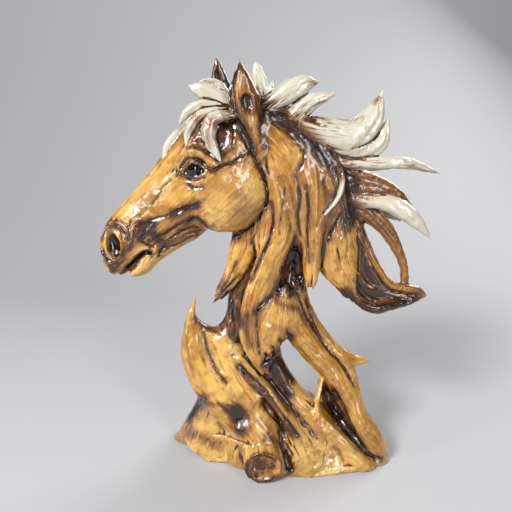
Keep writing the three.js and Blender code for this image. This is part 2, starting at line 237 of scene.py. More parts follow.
def skull():
    sections = np.array(FACE_SECTIONS, float)
    cut, (x, y, z) = window(np.array([-190.0, -62, 150]), np.array([10.0, 55, 385]))
    forward, across, up = head_frame(x, y, z)
    at = sections[:, 0]
    fine = np.linspace(at[0], at[-1], 80)
    soft = np.exp(-(((fine[:, None] - at[None, :]) / 9) ** 2))
    soft /= soft.sum(1)[:, None]
    kept = np.array([np.interp(fine, at, sections[:, k]) for k in range(1, 6)])
    eased = (soft @ sections[:, 1:]).T
    top, bottom, half, above, below = (np.interp(forward, fine, row) for row in (kept + eased) / 2)
    rise = (up - (top + bottom) / 2) / ((top - bottom) / 2)
    pinch = np.where(rise > 0, above, below)
    w = half * (1 - pinch * np.clip(rise, -1, 1) ** 2)
    d = (top - bottom) / 2
    past = np.maximum(at[0] - forward, 0) / 5 + np.maximum(forward - at[-1], 0) / 2
    size = np.sqrt((across / w) ** 2 + rise**2 + past**2 + 1e-6)
    slope = np.sqrt((across / w**2) ** 2 + (rise / d) ** 2 + (past / 4) ** 2 + 1e-6 / (w * d))
    press(cut, (size - 1) * size / slope, 1)


skull()


def egg(centre, radii, act, soft, axes=turn):
    """Adds or takes out an egg shape that lies along the head."""
    reach = max(radii) + MEETING
    cut, (x, y, z) = window(centre - reach, centre + reach)
    x, y, z = x - centre[0], y - centre[1], z - centre[2]
    parts = [(axes[0, k] * x + axes[1, k] * y + axes[2, k] * z) / radii[k] for k in range(3)]
    size = np.sqrt(sum(p * p for p in parts) + 1e-6)
    slope = np.sqrt(sum((p / r) ** 2 for p, r in zip(parts, radii)) + 1e-6 / max(radii) ** 2)
    act(cut, (size - 1) * size / slope, soft)


def lay_on_head(stations, soft, **options):
    lay([[*on_head(f, a, u), w, d] for f, a, u, w, d in stations], soft, **options)


for side in (-1, 1):
    egg(on_head(60, side * 12, -33), (39, 18.5, 37), press, 6)
    lay_on_head([[34, side * 16, 20, 6, 6], [56, side * 21, 13, 7, 6], [76, side * 18, 8, 5, 5],
                 [92, side * 11, 7, 3, 4]], 8)
    lay_on_head([[60, side * 20, -16, 8, 8], [84, side * 18, -15, 6, 6], [108, side * 13, -13, 5, 6],
                 [128, side * 9, -12, 4, 5]], 8)
    egg(on_head(163, side * 7, -3), (13, 9, 13), press, 6)
lay_on_head([[108, 0, -38, 10, 12], [134, 0, -31, 11, 12], [154, 0, -31, 9, 11], [166, 0, -33, 7, 9],
             [175, 0, -31, 4, 6]], 4)

# Ears, pricked forward, the far one turned further.
NEAR_EAR = [
  [-35, -19, 316, 7, 7],
  [-38, -22, 338, 12, 8],
  [-41, -24, 352, 12, 7],
  [-43, -26, 375, TIP, TIP],
]
FAR_EAR = [
  [-50, 15, 322, 7, 7],
  [-58, 17, 344, 11, 7],
  [-62, 17, 360, 9, 5],
  [-65, 15, 383.2, TIP, TIP],
]
lay(NEAR_EAR, 3)
lay(FAR_EAR, 3, colour="dark")

# Neck: a rounded body under planks of bark, with dark stems inside that carry it on the
# roots. The far side has the same planks, a little plainer.
NECK_BODY = [
  [-28, 0, 328, 18, 18],
  [-2, 0, 302, 30, 22],
  [12, 0, 268, 34, 23],
  [14, 1, 238, 33, 20],
  [8, 4, 208, 22, 12],
  [4, 5, 186, 12, 8],
]
NECK_PLANKS = [
  [[-6, -2, 312, 15, 14], [-11, -9, 268, 19, 13], [-9, -13, 236, 15, 10], [-20, -16, 200, 12, 8],
    [-31, -18, 166, 12, 8], [-33, -20, 136, 13, 8], [-24, -23, 110, 9, 6], [-18, -24, 96, 2.5, 3]],
  [[20, 0, 304, 18, 16], [20, -9, 258, 18, 12], [21, -14, 222, 10, 8], [20, -16, 182, 6, 5.5]],
  [[34, -2, 272, 12, 14], [40, -6, 238, 19, 11], [44, -7, 208, 20, 9], [53, -7, 185, 12, 7],
    [62, -6, 163, 1.5, 2]],
  [[-34, 0, 248, 14, 12], [-40, -4, 218, 14, 9], [-51, -6, 191, 9, 6], [-60, -7, 176, 6, 4],
    [-72, -8, 162, 1.2, 1.5]],
  [[-24, -8, 262, 4, 8], [-26, -12, 237, 7, 7], [-28, -13, 211, 1.5, 3]],
]
STEMS = [
  [[-22, 1, 280, 12, 12], [-29, 2, 248, 16, 14], [-36, 3, 206, 15, 11], [-44, 3, 172, 12, 10],
    [-47, 2, 148, 12, 11], [-50, 1, 126, 20, 12], [-50, 0, 100, 22, 15]],
  [[0, 4, 244, 18, 14], [2, 6, 200, 13, 10], [7, 5, 164, 13, 10], [10, 4, 138, 10, 9]],
  [[-14, 2, 196, 20, 12], [-20, 1, 160, 21, 13], [-28, 0, 126, 18, 14], [-32, -2, 88, 26, 20],
    [-30, -2, 34, 36, 26]],
]
lay(NECK_BODY, 8)
for stem in STEMS:
    lay(stem, 6, grooves=(6, 1.2), colour="dark")
for plank in NECK_PLANKS:
    lay(other_side(plank, dy=2), 3, grooves=(6, 1.1), colour="bark", torn=14)
    lay(plank, 3, grooves=(6, 1.1), colour="bark", torn=14)

# Lower bark, the horned leaf on the left, the leg and its spur on the right.
LOWER_BARK = [
  [[-8, -8, 190, 8, 8], [-11, -13, 163, 15, 9], [-12, -16, 146, 16, 8.5], [-17, -18, 129, 12, 8],
    [-22, -20, 113, 6, 6]],
  [[-88, 2, 166, TIP, TIP], [-92, 1, 150, 4, 4], [-91, -1, 130, 11, 8], [-86, -6, 106, 17, 10],
    [-72, -13, 82, 20, 12], [-50, -21, 60, 20, 14], [-28, -27, 38, 19, 14], [-17, -30, 18, 18, 13],
    [-13, -30, -6, 18, 12]],
  [[-82, 0, 137, 3, 5], [-68, -2, 122, 13, 10], [-54, -9, 97, 19, 14], [-32, -18, 68, 17, 15]],
]
RIGHT_LEG = [
  [[-4, -7, 172, 11, 9], [6, -8, 142, 13, 9], [26, -5, 113, 12, 10], [44, -6, 92, 11, 10],
    [58, -9, 69, 11, 10], [68, -12, 50, 11, 11], [78, -15, 32, 13, 12], [88, -16, 16, 12, 11],
    [94, -15, 2, 8, 9], [96, -14, -8, 7, 8]],
  [[6, 5, 186, 6, 8], [24, 4, 141, 7, 8], [42, 2, 115, 8, 8], [58, 0, 98, 7.5, 8], [68, -3, 74, 5, 7],
    [75, -6, 50, 4, 7]],
  [[42, 1, 109, 9, 7], [64, 1, 101, 7, 5.5], [83, 2, 99, TIP, TIP]],
]
for leg in RIGHT_LEG:
    lay(leg, 3, grooves=(5, 0.9), colour="bark")
for number, bark in enumerate(LOWER_BARK):
    lay(bark, 9, grooves=(7, 0.6), colour="bark" if number == 0 else "wood")

# Roots over a solid mound, cut off flat underneath. The mound's levels give a height, the
# share of the footprint that is left there, and how far it has moved along the base.
ROOTS = [
  [[-46, -14, 110, 4, 6], [-30, -23, 94, 5, 7], [-12, -27, 73, 6, 8], [3, -29, 50, 7, 9],
    [16, -31, 26, 11, 10], [20, -31, -6, 12, 10]],
  [[35, -8, 87, 1.5, 3], [31, -14, 72, 2.5, 5], [29, -19, 60, 3, 6], [31, -22, 47, 4, 7],
    [48, -26, 33, 5, 7], [68, -29, 13, 6, 7], [78, -29, 2, 4, 5]],
  [[-18, -6, 110, 8, 10], [-4, -9, 84, 9, 11], [12, -11, 62, 10, 13], [30, -14, 40, 16, 17],
    [36, -14, 4, 22, 20]],
  [[42, 6, 78, 10, 7], [48, 5, 56, 16, 9], [58, 2, 34, 22, 12], [62, 0, 4, 26, 14]],
  [[-76, 0, 76, 10, 11], [-80, 4, 50, 12, 13], [-94, 10, 22, 12, 12], [-106, 16, 8, 7, 8],
    [-114, 20, 2, 2.5, 3]],
  [[-66, -6, 66, 14, 12], [-74, -4, 36, 16, 14], [-82, 0, 6, 20, 16]],
  [[-44, 3, 108, 8, 8], [-60, 12, 78, 13, 12], [-77, 24, 46, 13, 12], [-93, 34, 16, 11, 10],
    [-102, 40, -6, 8, 8]],
  [[-38, 5, 118, 8, 6], [-44, 20, 72, 14, 11], [-48, 36, 28, 13, 11], [-48, 44, -6, 10, 9]],
  [[-20, 5, 126, 8, 6], [-18, 15, 90, 15, 11], [-8, 30, 48, 15, 12], [2, 42, 14, 13, 11],
    [5, 47, -6, 11, 10]],
  [[8, 10, 58, 8, 8], [22, 20, 44, 13, 10], [36, 32, 24, 14, 12], [46, 38, 4, 11, 10],
    [50, 41, -6, 8, 8]],
  [[40, 1, 98, 6, 6], [55, 6, 74, 10, 10], [70, 15, 44, 12, 12], [82, 25, 14, 10, 10],
    [88, 30, -6, 8, 9]],
  [[-44, -10, 56, 14, 12], [-44, -16, 30, 18, 14], [-46, -16, 4, 18, 14]],
]
DARK_ROOT = [[-14, -3, 138, 4, 6], [-11, -4, 120, 4.6, 7], [-10, -6, 106, 4.6, 7], [-4, -8, 92, 4.6, 7],
  [7, -9, 78, 4, 6], [15, -8, 64, 1.5, 2]]
LEFT_ROOT = [[-60, -9, 54, 11, 10], [-66, -11, 32, 12, 10], [-70, -11, 10, 12, 10], [-70, -11, -6, 12, 10]]
FOOTPRINT = [
  [-113, 20], [-90, 2], [-64, -10], [-48, -26], [-26, -38], [10, -42], [45, -39], [80, -32],
  [98, -16], [99, 6], [84, 28], [50, 40], [4, 52], [-40, 48], [-78, 42], [-106, 34],
]
MOUND_LEVELS = [
  [-8, 1, 0], [3, 1, 0], [12, 0.9, 0], [26, 0.74, -3], [46, 0.5, -12], [66, 0.3, -22],
]
lay(DARK_ROOT, 3, grooves=(6, 1.3), colour="dark")
lay(LEFT_ROOT, 9)
for number, root in enumerate(ROOTS):
    lay(root, 4 if number < 2 else 9, grooves=(7, 1.0))


def mound():
    past_ends = FOOTPRINT[-2:] + FOOTPRINT + FOOTPRINT[:3]
    outline = Strand([[x, y, 0, 1, 1] for x, y in past_ends], facing=(0, 0, 1))
    around = outline.at[:, :2]
    first = np.argmin(np.hypot(*(around[:60] - FOOTPRINT[0]).T))
    past = len(around) // 2
    last = past + np.argmin(np.hypot(*(around[past:] - FOOTPRINT[0]).T))
    around = around[first : last + 1]
    levels = np.array(MOUND_LEVELS, float)
    cut, (x, y, z) = window(np.array([-125.0, -60, -6]), np.array([115.0, 65, 92]))
    share = np.interp(z, levels[:, 0], levels[:, 1])
    px, py = (x - np.interp(z, levels[:, 0], levels[:, 2])) / share, y / share
    nearest = np.full(np.broadcast_shapes(px.shape, py.shape), 1e9, np.float32)
    inside = np.zeros(nearest.shape, bool)
    for (ax, ay), (bx, by) in zip(around[:-1], around[1:]):
        dx, dy = bx - ax, by - ay
        t = np.clip(((px - ax) * dx + (py - ay) * dy) / (dx * dx + dy * dy), 0, 1)
        nearest = np.minimum(nearest, (px - ax - t * dx) ** 2 + (py - ay - t * dy) ** 2)
        crosses = (ay > py) != (by > py)
        if by != ay:
            inside ^= crosses & (px < ax + (py - ay) * dx / (by - ay))
    flat = np.sqrt(nearest) * np.where(inside, -1, 1) * share
    press(cut, np.maximum(flat * 0.8, z - levels[-1, 0]), 10)


mound()
STUB = 17
BRANCH = [
  [-28, 0, 32, STUB + 4, STUB + 2],
  [-26, -28, 22, STUB + 1, STUB],
  [-24, -50, 16.5, STUB, STUB - 1],
  [-24, -58, 16.5, STUB, STUB - 1],
]
lay(BRANCH, 5, facing=(0, 0, 1))

# Crest of the mane and its locks, streaming back, carved with grooves along the hair.
CREST = [
  [-32, 0, 337, 9, 12],
  [-5, -1, 331, 12, 14],
  [18, -3, 313, 13, 15],
  [36, -4, 288, 13, 15],
  [47, -4, 260, 12, 13],
  [54, -3, 230, 8, 9],
]
MANE_LOCKS = [
  [[-24, -4, 340, 8, 6], [-26, -5, 358, 7, 4], [-29, -5, 371, 5, 3], [-31, -5, 378, TIP, TIP]],
  [[-24, -6, 340, 6, 6], [-19, -6, 352, 4, 3], [-16, -6, 362, TIP, TIP]],
  [[-24, -7, 338, 7, 7], [-4, -10, 352, 9.5, 7], [10, -9, 359, 9, 6], [22, -8, 361, 1.5, 1.5]],
  [[-2, -7, 328, 9, 8], [18, -10, 345, 7.5, 6], [39, -9, 352, TIP, TIP]],
  [[4, -7, 324, 12, 9], [34, -12, 318, 14, 9], [54, -13, 317, 15, 7], [69, -11, 331, 11, 4.5],
    [77, -10, 352, 1.5, 1.5]],
  [[32, -7, 306, 9, 8], [62, -9, 303, 9, 6], [78, -9, 311, 7.5, 5], [84, -8, 330, 1.5, 1.5]],
  [[30, -6, 296, 9, 9], [62, -11, 293, 5.5, 5], [84, -13, 294, 5.5, 5], [104, -12, 293, 5, 4],
    [130, -10, 285, TIP, TIP]],
  [[36, -3, 280, 14, 11], [66, -5, 273, 14, 10], [88, -6, 267, 10, 7], [104, -6, 258, 5, 4],
    [112, -5, 250, 1.5, 1.5]],
  [[38, -4, 268, 10, 10], [71, -8, 260, 7, 7], [91, -10, 257, 8.5, 6], [112, -11, 244, 7, 5],
    [128, -10, 227, TIP, TIP]],
  [[42, -2, 262, 10, 10], [66, -3, 252, 9.5, 8], [87, -3, 236, 7.5, 6], [102, -2, 213, 5, 5],
    [110, 0, 193, 4, 4], [111, 1, 172, 4, 4]],
  [[37, -13, 298, 2, 4], [45, -17, 284, 2.4, 4.5], [43, -20, 267, 2.4, 4.5], [32, -21, 251, 1.2, 2]],
]
lay(CREST, 5, grooves=(16, 1.0), colour="dark")
for number, lock in enumerate(MANE_LOCKS):
    tint = "brown" if number in (7, 9) else "mane"
    if 2 <= number < 9:
        far_lock = other_side(lock[:-1], dx=-7, dz=-4)
        far_lock[-1][3:] = [2, 2]
        lay(far_lock, 1.5, grooves=(5, 1.3), colour=tint)
    lay(lock, 1.5, grooves=(11, 1.5) if tint == "brown" else (4, 1.0), colour=tint)

# Locks of the forelock, blown forward over the brow.
FORELOCK = [
  [[-50, 0, 342, 6, 7], [-66, -5, 360, 5, 4], [-83, -8, 361, TIP, TIP]],
  [[-48, -8, 338, 7, 7], [-67, -12, 350, 8, 5], [-79, -14, 355, 6, 4], [-86, -15, 358, TIP, TIP]],
  [[-54, -11, 338, 6, 6], [-77, -17, 342, 5, 5], [-89, -19, 335, 4, 3.5], [-95, -19, 326, TIP, TIP]],
  [[-54, -17, 336, 5, 6], [-76, -23, 333, 5, 5], [-86, -25, 321, 4, 4], [-89, -27, 306, TIP, TIP]],
  [[-50, -21, 334, 4, 6], [-66, -29, 330, 6, 5], [-69, -32, 317, 6, 5], [-59, -35, 296, TIP, TIP]],
  [[-84, -4, 325, 5, 5], [-99, -10, 317, 4.5, 4], [-107, -13, 307, 4, 3], [-110, -14, 296, TIP, TIP]],
  [[-56, 10, 338, 6, 6], [-78, 12, 338, 5, 5], [-91, 12, 325, 4, 4], [-97, 14, 308, TIP, TIP]],
  [[-52, 16, 334, 5, 6], [-70, 21, 328, 6, 5], [-76, 24, 314, 5, 5], [-74, 28, 298, TIP, TIP]],
]
for lock in FORELOCK:
    lay(lock, 1.2, grooves=(4, 0.7), colour="lock")

# Hollow claw of dark wood behind the neck: a thin back, its rim and its lip.
CLAW = [
  [[60, 0, 240, 6, 7], [68, 0, 206, 12, 6], [71, 0, 190, 18, 5], [80, 1, 175, 19, 5],
    [102, 2, 168, 11, 4.5], [118, 2, 167, 6, 4], [128, 3, 167, 3, 3]],
  [[62, -2, 240, 5, 7], [74, -3, 214, 4, 6], [84, -5, 196, 3.5, 5], [96, -5, 181, 3.5, 5],
    [112, -2, 176, 4, 5], [124, 1, 173, 4, 4], [133, 3, 167, 1.2, 1.5]],
  [[62, -4, 172, 4, 5], [70, -7, 163, 5, 6], [84, -8, 158, 5.5, 6], [98, -5, 160, 5, 5],
    [116, -1, 162, 3.5, 4], [130, 3, 167, 2, 2]],
]
for number, edge in enumerate(CLAW):
    lay(edge, 3, grooves=(9, 1.5), colour="brown" if number == 1 else "dark")


def blurred(block, radius):
    size = max(int(round(radius / PITCH)), 1)
    for _ in range(3):
        for axis in range(3):
            pad = [(0, 0)] * 3
            pad[axis] = (size + 1, size)
            total = np.cumsum(np.pad(block, pad, mode="edge"), axis=axis, dtype=np.float32)
            upper, lower = [slice(None)] * 3, [slice(None)] * 3
            upper[axis], lower[axis] = slice(2 * size + 1, None), slice(None, -2 * size - 1)
            block = (total[tuple(upper)] - total[tuple(lower)]) / (2 * size + 1)
    return block


# Lines are carved where the photograph shows them: each is drawn in its 512-pixel frame,
# and falls on the clay along the sight lines of a camera with a 512-pixel focal length. The
# search for the clay starts in the clear air before it, or behind it for the far side.
EYE_POINT = np.array([-30.0, -466.0, 323.0])
TILT = math.radians(14)
FOCAL = 512
PICTURE = 512
CLEAR = 390
BEHIND = 60
STEP = 0.6
STEPS_AHEAD = 260
STEPS_BACK = 190


def sight(px, py):
    side = (np.asarray(px, float) - PICTURE / 2) / FOCAL
    rise = (PICTURE / 2 - np.asarray(py, float)) / FOCAL
    cos, sin = math.cos(TILT), math.sin(TILT)
    return np.stack([side, cos + rise * sin, rise * cos - sin], -1)


def first_clay(start, step, count):
    """Where lines that start at the given places first meet the clay, and whether they do."""
    places = start[:, None] + step[:, None] * np.arange(count)[None, :, None]
    cell = np.rint((places - low) / PITCH).astype(int)
    ok = ((cell >= 0) & (cell < clay.shape)).all(-1)
    cell = np.clip(cell, 0, np.array(clay.shape) - 1)
    solid = ok & (clay[cell[..., 0], cell[..., 1], cell[..., 2]] < 0)
    hit = solid.argmax(1)
    return places[np.arange(len(start)), hit], solid.any(1)


def landed(line):
    """A line drawn on the photograph, as places on the clay that the viewer sees."""
    points = np.array(line, float)
    if len(points) > 2:
        drawn = Strand([[x, 0, y, 1, 1] for x, y in points], piece=2.0).at[:, ::2]
    else:
        count = max(int(np.hypot(*(points[1] - points[0])) / 2), 2)
        drawn = points[0] + (points[1] - points[0]) * np.linspace(0, 1, count)[:, None]
    rays = sight(drawn[:, 0], drawn[:, 1])
    near = EYE_POINT + rays * CLEAR
    places, found = first_clay(near, rays * STEP, STEPS_AHEAD)
    return places[found]


def mirrored(places, head):
    """The same places on the far side, across the head's own middle or from behind."""
    if head:
        forward, across, up = head_frame(*places.T)
        return np.array([on_head(f, -a, u) for f, a, u in zip(forward, across, up)])
    start = places.copy()
    start[:, 1] = BEHIND
    back, found = first_clay(start, np.tile([0, -STEP, 0], (len(start), 1)), STEPS_BACK)
    return back[found]


def trail(places, radii):
    """Distance to a rope of the given radii through the places."""
    reach = max(radii) + MEETING
    cut, (x, y, z) = window(places.min(0) - reach, places.max(0) + reach)
    shape = np.broadcast_shapes(x.shape, y.shape, z.shape)
    best = np.full(shape, EMPTY, np.float32)
    for a, b, r0, r1 in zip(places[:-1], places[1:], radii[:-1], radii[1:]):
        near = max(r0, r1) + MEETING
        part, (px, py, pz) = crop((x, y, z), np.minimum(a, b) - near, np.maximum(a, b) + near)
        px, py, pz = px - a[0], py - a[1], pz - a[2]
        step = b - a
        t = np.clip((px * step[0] + py * step[1] + pz * step[2]) / (step @ step + 1e-9), 0, 1)
        gap = np.sqrt((px - t * step[0]) ** 2 + (py - t * step[1]) ** 2 + (pz - t * step[2]) ** 2)
        best[part] = np.minimum(best[part], gap - (r0 + t * (r1 - r0)))
    return cut, best


# Dark paint laid along the drawn lines: stain along most, painted shade along some, as in the cave, the gap
# by the left root, under the claw and on the brow.
drawn_stain_and_shade = []  # carved lines with the strength of the dark stain left in them


def spot(px, py):
    """The place on the clay where one point of the photograph falls."""
    return landed([(px, py), (px + 2, py)])[0]


def score(line, radius, deep, stain=1.0, head=False, both=True, taper=True, spread=None):
    """Carves a groove along a drawn line. A negative depth lays a cord, and 0 only stains; along some lines
    the stain is painted shade.
    """
    front = landed(line)
    sides = [(front, -1)]
    if both:
        sides.append((mirrored(front, head), 1))
    for places, face in sides:
        if len(places) < 2:
            continue
        smooth = places.copy()
        for _ in range(2):
            smooth[1:-1] = (smooth[:-2] + smooth[1:-1] + smooth[2:]) / 3
        t = np.linspace(0, 1, len(smooth))
        radii = radius * (np.clip(np.sin(np.pi * t) * 1.6, 0.35, 1) if taper else np.ones_like(t))
        if deep > 0:
            centres = smooth + np.array([0, face, 0]) * (radii - deep * radii / radius)[:, None]
            carve(*trail(centres, radii), 1.0)
        elif deep < 0:
            centres = smooth - np.array([0, face, 0]) * (radii + deep * radii / radius)[:, None]
            press(*trail(centres, radii), 1.5)
        if stain:
            drawn_stain_and_shade.append((smooth, spread or 0.8 * radius + 0.7, stain))


def score_all(table, **sides):
    """Scores a table's rows: half-width, depth, strength and spread of the stain, which in some tables is
    painted shade, and the line.
    """
    for radius, deep, stain, spread, line in table:
        score(line, radius, deep, stain, spread=spread, **sides)


# The face: socket, ball and lids of the eye, wrinkles of the brow, nostril, mouth, and the
# grooves round the cheek and along the jaw. The same on both sides of the head.
EYE_PLACE = (193.5, 169.7)
SOCKET = (12, 5, 8)
EYE_RADIUS = 7.0
EYE_SUNK = 5.0
EYE_LINES = [
  (1.7, -1.9, 0, 0, [(182, 171.5), (185.6, 166), (190.4, 162.6), (196.6, 162.4), (202, 165.4), (207, 171)]),
  (1.5, -1.6, 0, 0, [(183, 172.5), (187.4, 176), (193, 178), (199.4, 177.2), (206, 172.4)]),
  (0.8, 1.3, 0.9, 0, [(181, 168.5), (185, 161.5), (190.6, 157.2), (198, 159.4), (206, 166.4),
    (214, 171.6)]),
  (2.4, -2.2, 0, 0, [(186, 151.5), (192, 150.5), (200, 154), (208, 160.4), (216, 166.5)]),
  (0.7, 0.9, 0.7, 0, [(187, 147.5), (196, 147.4), (205, 151), (213, 157.5)]),
  (1.3, -1.2, 0, 0, [(190, 144), (198, 144), (206, 147), (212, 152)]),
  (0.7, 0.8, 0.6, 0, [(193, 140.5), (200, 140.4), (207, 143.4)]),
  (0.6, 0.8, 0.7, 0, [(183, 174), (187, 177.6), (192, 179.6), (198, 179.8), (204, 177.4)]),
  (1.0, 1.2, 0.8, 0, [(188.6, 184), (192.6, 187.6), (197, 188.6), (202, 186.8)]),
  (0.9, 1.0, 0.9, 0, [(174, 170), (178, 172.4), (181, 173.2)]),
  (1.2, 1.8, 0.9, 0, [(208, 168), (213, 171), (220, 166.4), (226, 164), (232, 163.4), (239, 158.6),
    (247, 153.5)]),
]
NOSTRIL_PLACE = (112.6, 246)
NOSTRIL = (6.5, 9, 12.4)
NOSTRIL_PAINT = (6.8, 9.5, 12.7)
NOSTRIL_SLANT = math.radians(32)
NOSTRIL_RIM = [(103.5, 254), (101.6, 245), (103.4, 236.5), (108.5, 229.6), (115.5, 228.4), (121.4, 234.6),
  (122.4, 245), (119.4, 254.5), (113.5, 260)]
MUZZLE_LINES = [
  (1, 0, 0.55, 2, [(102, 240), (104, 233), (109, 228.6), (116, 228), (121.6, 235), (123, 246)]),
  (1, 0, 0.9, 2.6, [(103, 252), (105, 258), (110, 262.6), (116, 262)]),
  (1.0, 1.1, 0.7, 0, [(130.7, 221.5), (128.6, 230), (129.6, 239), (128, 248)]),
  (1.0, 1.1, 0.8, 0, [(136.5, 224), (134.6, 232), (133, 240), (129.6, 249)]),
  (0.9, -0.8, 0, 0, [(133.4, 226), (131.8, 234), (131, 243)]),
  (1, 0, 0.5, 4, [(124, 250), (121, 258), (116, 266)]),
  (0.9, 1.0, 0.7, 0, [(140, 240), (146, 244), (152, 246)]),
  (1.0, 1.2, 0.8, 0, [(101.5, 229), (105.5, 225.6), (111, 224.4), (118, 225), (124.6, 230), (128, 238)]),
  (0.9, 1.0, 0.6, 0, [(104, 222.6), (109, 220.6), (115.5, 220), (123, 222.4), (130, 230)]),
  (1.6, 1.8, 1.0, 0, [(105, 256), (108, 260.5), (113, 262)]),
]
MOUTH_LINE = [(121.5, 272.5), (126, 268.5), (131, 263.4), (136, 258.4), (141, 254), (146, 251.6),
  (150, 252.8)]
MOUTH_FLOOR = [
  [148, 0, -25, 2.5, 8], [164, 0, -25.5, 2.8, 6.5], [176, 0, -25, 2.5, 4.5], [182, 0, -24, 1.8, 3],
]
LIP_LINES = [
  (1.9, -1.7, 0, 0, [(131, 257.6), (136, 252.4), (141.5, 248.6), (147, 247), (152, 249.6), (154.5, 254.4)]),
  (1.4, 2.0, 1.0, 0, [(159, 254), (161, 250), (166, 246)]),
]
JAW_LINES = [
  (2.1, 1.9, 1.0, 3.4, [(196, 205.6), (188, 207.8), (181, 210.4), (172, 214)]),
  (1.0, 1.0, 0.9, 0, [(174, 213.2), (165, 216), (155, 219), (143, 222.6)]),
  (2.6, 1.2, 1.0, 4.5, [(152, 223), (147, 226), (142.5, 231), (139.6, 236)]),
  (1, 0, 0.75, 5, [(140, 224), (147, 230), (155, 236), (163, 243)]),
  (1, 0, 0.45, 5, [(160, 247), (172, 241), (184, 235), (196, 230)]),
  (1, 0, 0.8, 3.5, [(103, 254), (108, 262), (114, 270)]),
  (1, 0, 0.6, 3.5, [(128, 268), (140, 257), (150, 251)]),
  (1, 0, 0.8, 3.4, [(198, 218.5), (206, 226), (212, 234), (224, 238), (238, 236)]),
]
# Dark paint on the brow between and under the forelock's locks, partly its own dark brown and partly
# painted shade, with a groove and a cord.
BROW_LINES = [
  (1, 0, 0.5, 5, [(176, 126), (187, 131), (200, 134), (212, 138), (224, 143)]),
  (1, 0, 0.8, 6, [(194, 118), (205, 122), (222, 126), (234, 131)]),
  (1, 0, 0.6, 4, [(203, 122), (206, 134), (207, 146)]),
  (1, 0, 0.7, 4, [(224, 116), (226, 128), (224, 142), (222, 154)]),
  (0.8, 0.8, 0.6, 3, [(231, 122), (234, 134), (232, 148)]),
  (0.9, -0.8, 0, 0, [(226.5, 120), (230, 134), (227, 150)]),
  (1, 0, 0.5, 4, [(190, 128), (195, 138), (198, 146)]),
]
CHEEK_LINES = [
  (1.7, 2.2, 1.0, 0, [(187, 222.4), (190.4, 219), (194.4, 217.6), (199, 218.6), (203, 222.4), (207.5, 228),
    (213, 233.6), (222, 237.4)]),
  (1.0, 1.2, 0.8, 0, [(208, 233.6), (200, 234), (193, 235.6), (184, 240.4), (175, 245.2), (164, 249)]),
  (1.0, 1.2, 0.8, 0, [(198, 228), (190.6, 227), (184, 229.4), (176, 235), (167.5, 240.4), (158, 245.4)]),
  (1.1, 1.3, 0.9, 0, [(184, 221.6), (176, 226), (167.5, 232), (158, 238), (148.4, 241)]),
  (0.8, 0.9, 0.6, 0, [(206, 229.5), (197, 231), (188, 234), (180, 238.6)]),
  (1.2, 0.8, 0.35, 0, [(164, 189), (158, 196), (150, 205), (141, 214), (132, 221)]),
  (1.0, 0.7, 0.3, 0, [(172, 180), (164, 186), (155, 193)]),
  (3.2, 3.4, 1.0, 4.2, [(238, 120), (242.6, 132), (248, 142), (252.6, 152.6)]),
]
CHEEK_EDGE = [(251, 150), (255, 160), (259.4, 170), (264, 180), (267, 192), (266.4, 203), (262, 213),
  (254, 223), (246.3, 229), (236, 235)]
CHEEK_FOLD = [(259.5, 165), (262.5, 175), (266, 184)]
forward, across, up = head_frame(*spot(*EYE_PLACE))
eyes = []
for side in (1, -1):
    centre = on_head(forward, across * side, up)
    out = on_head(forward, across * side - side * 100, up) - centre
    out /= np.linalg.norm(out)
    egg(centre + out, SOCKET, carve, 2)
    eyes.append((centre - out * EYE_SUNK, EYE_RADIUS))
for centre, radius in eyes:
    egg(centre, (radius, radius, radius), press, 0.6)
score_all(EYE_LINES, head=True)
for centre, radius in eyes:
    drawn_stain_and_shade.append((centre[None], radius + 1.6, 0.9))

forward, across, up = head_frame(*spot(*NOSTRIL_PLACE))
nostrils = [on_head(forward, across * side, up) for side in (1, -1)]
tall = turn @ np.array(Euler((0, NOSTRIL_SLANT, 0)).to_matrix())
score(NOSTRIL_RIM, 2.0, -1.7, 0, head=True, taper=False)
for centre in nostrils:
    egg(centre, NOSTRIL, carve, 1.2, axes=tall)
score_all(MUZZLE_LINES, head=True)
score(MOUTH_LINE, 2.3, 4.0, head=True, taper=False)
lay_on_head(MOUTH_FLOOR, 0.5, colour="dark")
for table in (LIP_LINES, JAW_LINES, BROW_LINES, CHEEK_LINES):
    score_all(table, head=True)
score(CHEEK_EDGE, 1.2, 2.6, 0.9, head=True, taper=False)
score(CHEEK_FOLD, 1.8, 2.0, 0.9, head=True)

# The near ear faces the viewer: a dark fold, a bright rib and a glossy pit.
EAR_LINES = [
  (3.2, 2.6, 1.0, 4, [(236.5, 68), (232, 78), (230.2, 89), (231.5, 101), (235, 113)]),
  (1.3, -1.2, 0, 0, [(240.4, 65), (239.6, 76), (238.2, 88), (237.6, 98)]),
]
EAR_PIT = [(246.6, 99.5), (247.8, 105.5)]
EAR_STAINS = [
  (1, 0, 0.5, 5, [(243.5, 72), (249, 84), (254, 98), (256, 112)]),
  (1, 0, 0.8, 2.6, [(257.6, 90), (259.4, 102), (259.6, 116)]),
  (1, 0, 0.6, 3, [(238, 112), (243, 121), (248, 131)]),
  (1, 0, 0.7, 4, [(261, 118), (262, 132), (266, 146)]),
]
score_all(EAR_LINES, both=False)
score(EAR_PIT, 5.0, 3.6, both=False, taper=False, spread=5.6)
score_all(EAR_STAINS, both=False)

